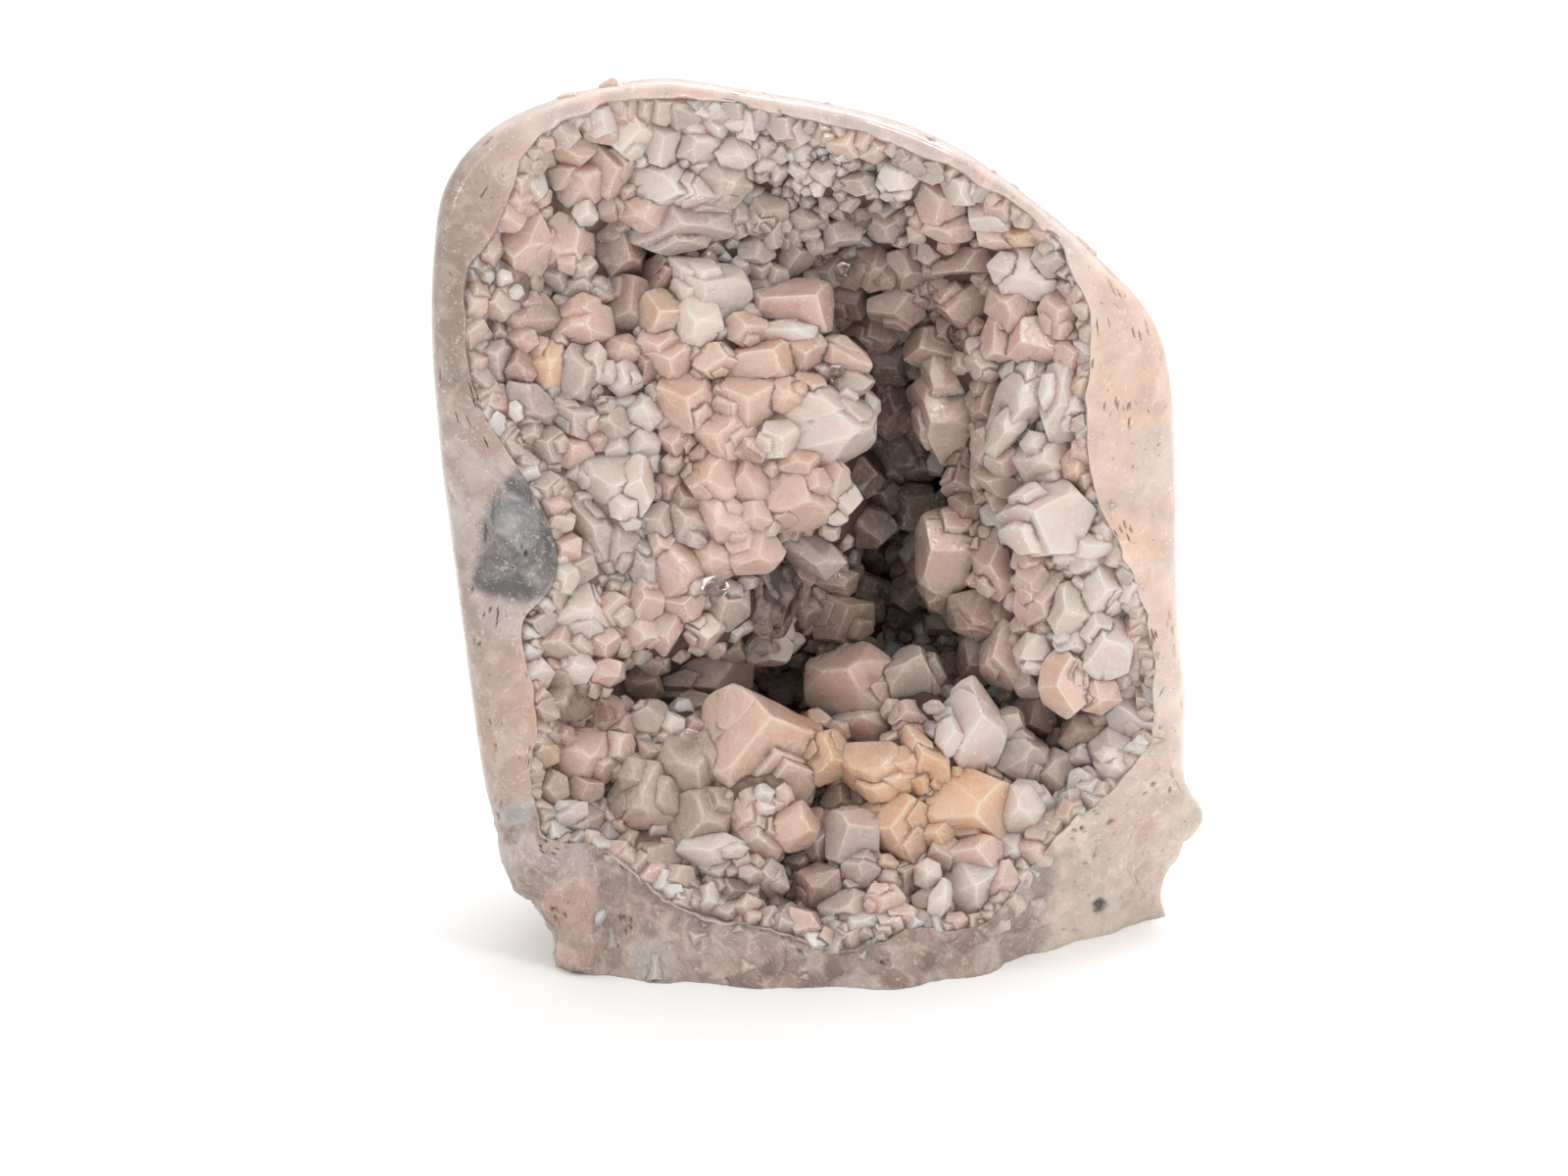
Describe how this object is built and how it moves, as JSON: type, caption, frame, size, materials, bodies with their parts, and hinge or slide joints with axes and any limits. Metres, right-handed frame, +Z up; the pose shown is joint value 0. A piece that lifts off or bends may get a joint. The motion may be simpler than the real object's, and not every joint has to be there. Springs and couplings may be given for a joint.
{
  "type": "pink amethyst geode",
  "caption": "Free-standing pink amethyst geode: a stone sawn flat underneath, with a polished rim round an open hollow lined with blunt milky quartz crystals",
  "frame": {"origin": "on the sawn base, under the middle of the stone's box", "axes": "+Z up the stone, -Y out of the open hollow, +X to the right of someone who looks into the hollow"},
  "size_m": [0.102, 0.0652, 0.12],
  "materials": {
    "stone": "polished on the rim, natural and matt on the back, sawn underneath",
    "quartz": "milky quartz with glossy natural faces"
  },
  "bodies": {
    "root": {"rind": "stone", "crystal_crust": "quartz"}
  },
  "joints": []
}
